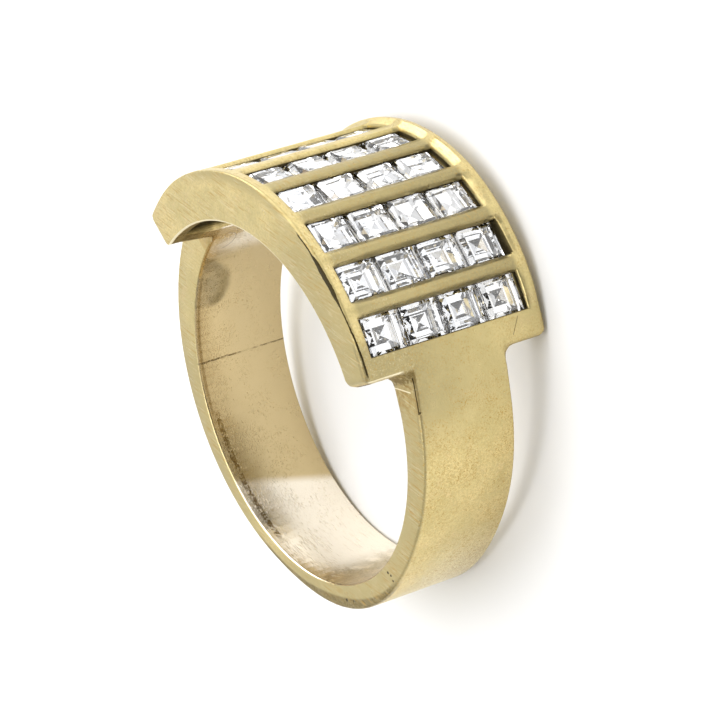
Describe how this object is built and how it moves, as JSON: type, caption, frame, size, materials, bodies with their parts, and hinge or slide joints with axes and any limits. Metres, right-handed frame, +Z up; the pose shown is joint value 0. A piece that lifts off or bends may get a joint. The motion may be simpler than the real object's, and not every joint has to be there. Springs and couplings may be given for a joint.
{
  "type": "diamond band ring",
  "caption": "Gold finger ring with a broad curved head of channel-set square step-cut stones on a plain tapering shank, lying on its side.",
  "frame": {"origin": "centre of the ring's footprint on the surface that it lies on", "axes": "+Z up from that surface; the ring lies on its side with its stone-set head towards -Y and the shank's bottom towards +Y; X across the head"},
  "size_m": [0.0198, 0.0212, 0.01],
  "materials": {
    "gold": "pale yellow 18 carat gold, satin from wear, with fine hair scratches and a brighter inside",
    "diamond": "polished square step-cut diamond, colourless"
  },
  "bodies": {
    "root": {"gold_band": "gold", "stone_r1_c1": "diamond", "stone_r1_c2": "diamond", "stone_r1_c3": "diamond", "stone_r1_c4": "diamond", "stone_r2_c1": "diamond", "stone_r2_c2": "diamond", "stone_r2_c3": "diamond", "stone_r2_c4": "diamond", "stone_r3_c1": "diamond", "stone_r3_c2": "diamond", "stone_r3_c3": "diamond", "stone_r3_c4": "diamond", "stone_r4_c1": "diamond", "stone_r4_c2": "diamond", "stone_r4_c3": "diamond", "stone_r4_c4": "diamond", "stone_r5_c1": "diamond", "stone_r5_c2": "diamond", "stone_r5_c3": "diamond", "stone_r5_c4": "diamond", "stone_r6_c1": "diamond", "stone_r6_c2": "diamond", "stone_r6_c3": "diamond", "stone_r6_c4": "diamond", "stone_r7_c1": "diamond", "stone_r7_c2": "diamond", "stone_r7_c3": "diamond", "stone_r7_c4": "diamond", "stone_r8_c1": "diamond", "stone_r8_c2": "diamond", "stone_r8_c3": "diamond", "stone_r8_c4": "diamond"}
  },
  "joints": []
}
